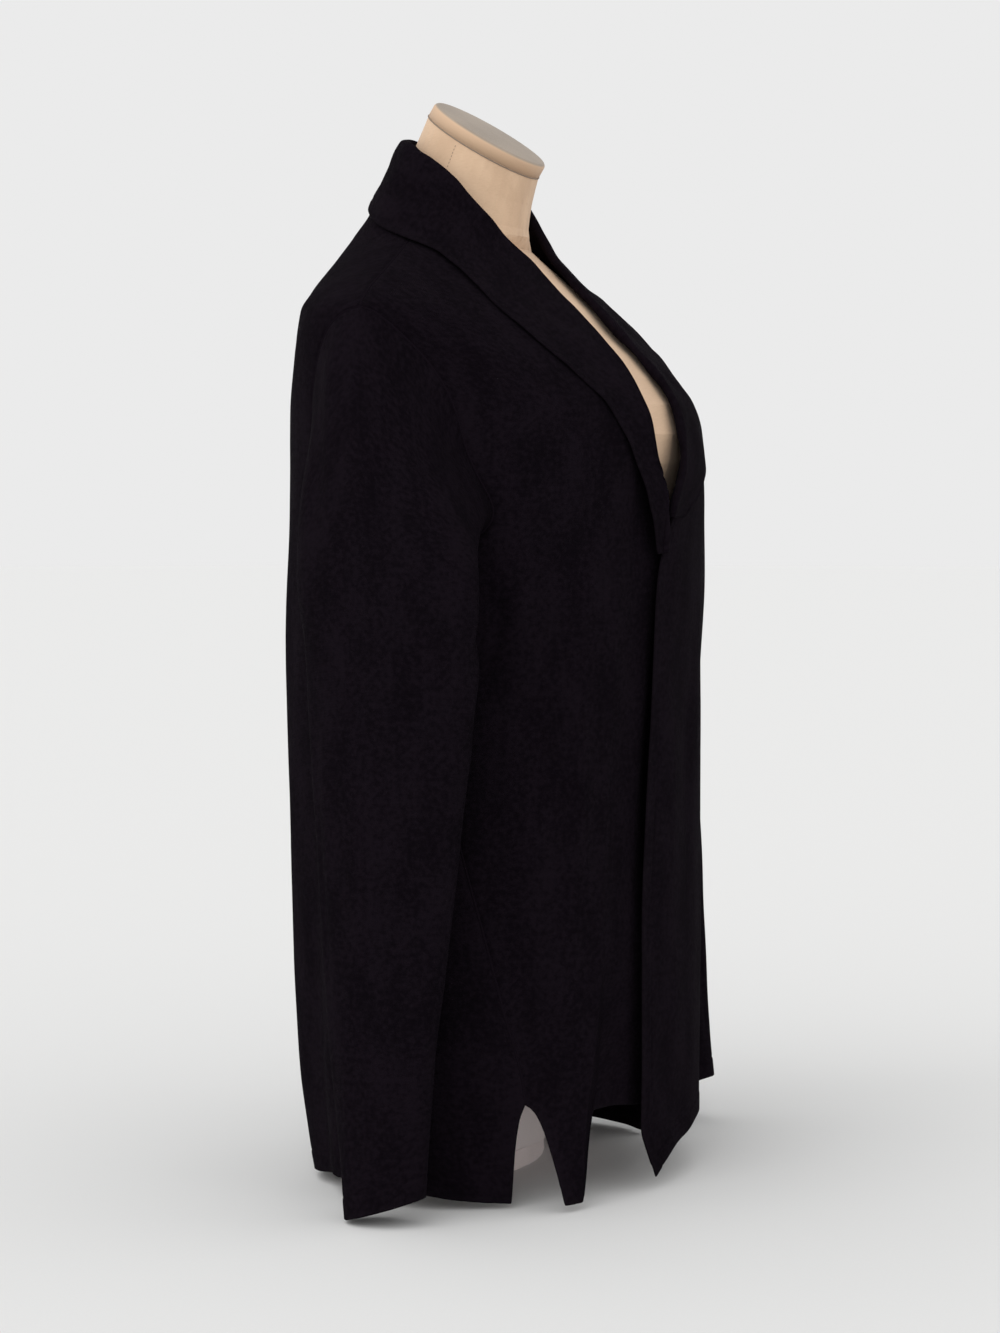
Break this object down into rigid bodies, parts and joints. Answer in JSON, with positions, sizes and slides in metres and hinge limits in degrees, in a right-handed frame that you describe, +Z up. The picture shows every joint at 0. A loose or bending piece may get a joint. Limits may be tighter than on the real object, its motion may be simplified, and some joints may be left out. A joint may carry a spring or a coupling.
{
  "type": "long cardigan on a dress form",
  "caption": "Long open-front knitted cardigan with shawl collar, long sleeves and side vents, hanging on a smooth limbless dress form.",
  "frame": {"origin": "on the floor, at the underside of the form's foot, under the middle of the neck opening's width", "axes": "+Z up, -Y towards the wearer's front, +X towards the wearer's left"},
  "size_m": [0.5058, 0.3013, 0.8068],
  "materials": {
    "back_knit": "matte fine knit, near-black with a slight purple cast",
    "right_front_knit": "matte fine knit, near-black with a slight purple cast",
    "left_front_knit": "matte fine knit, near-black with a slight purple cast",
    "right_sleeve_knit": "matte fine knit, near-black with a slight purple cast",
    "left_sleeve_knit": "matte fine knit, near-black with a slight purple cast",
    "collar_knit": "matte fine knit, near-black with a slight purple cast",
    "form_skin": "warm cream, matte",
    "neck_cap_skin": "greyer tan, matte",
    "foot_paint": "beige, matte"
  },
  "bodies": {
    "root": {"back": "back_knit", "front_right": "right_front_knit", "front_left": "left_front_knit", "sleeve_right": "right_sleeve_knit", "sleeve_left": "left_sleeve_knit", "collar": "collar_knit", "form_torso": "form_skin", "form_neck_cap": "neck_cap_skin", "form_foot": "foot_paint"}
  },
  "joints": []
}
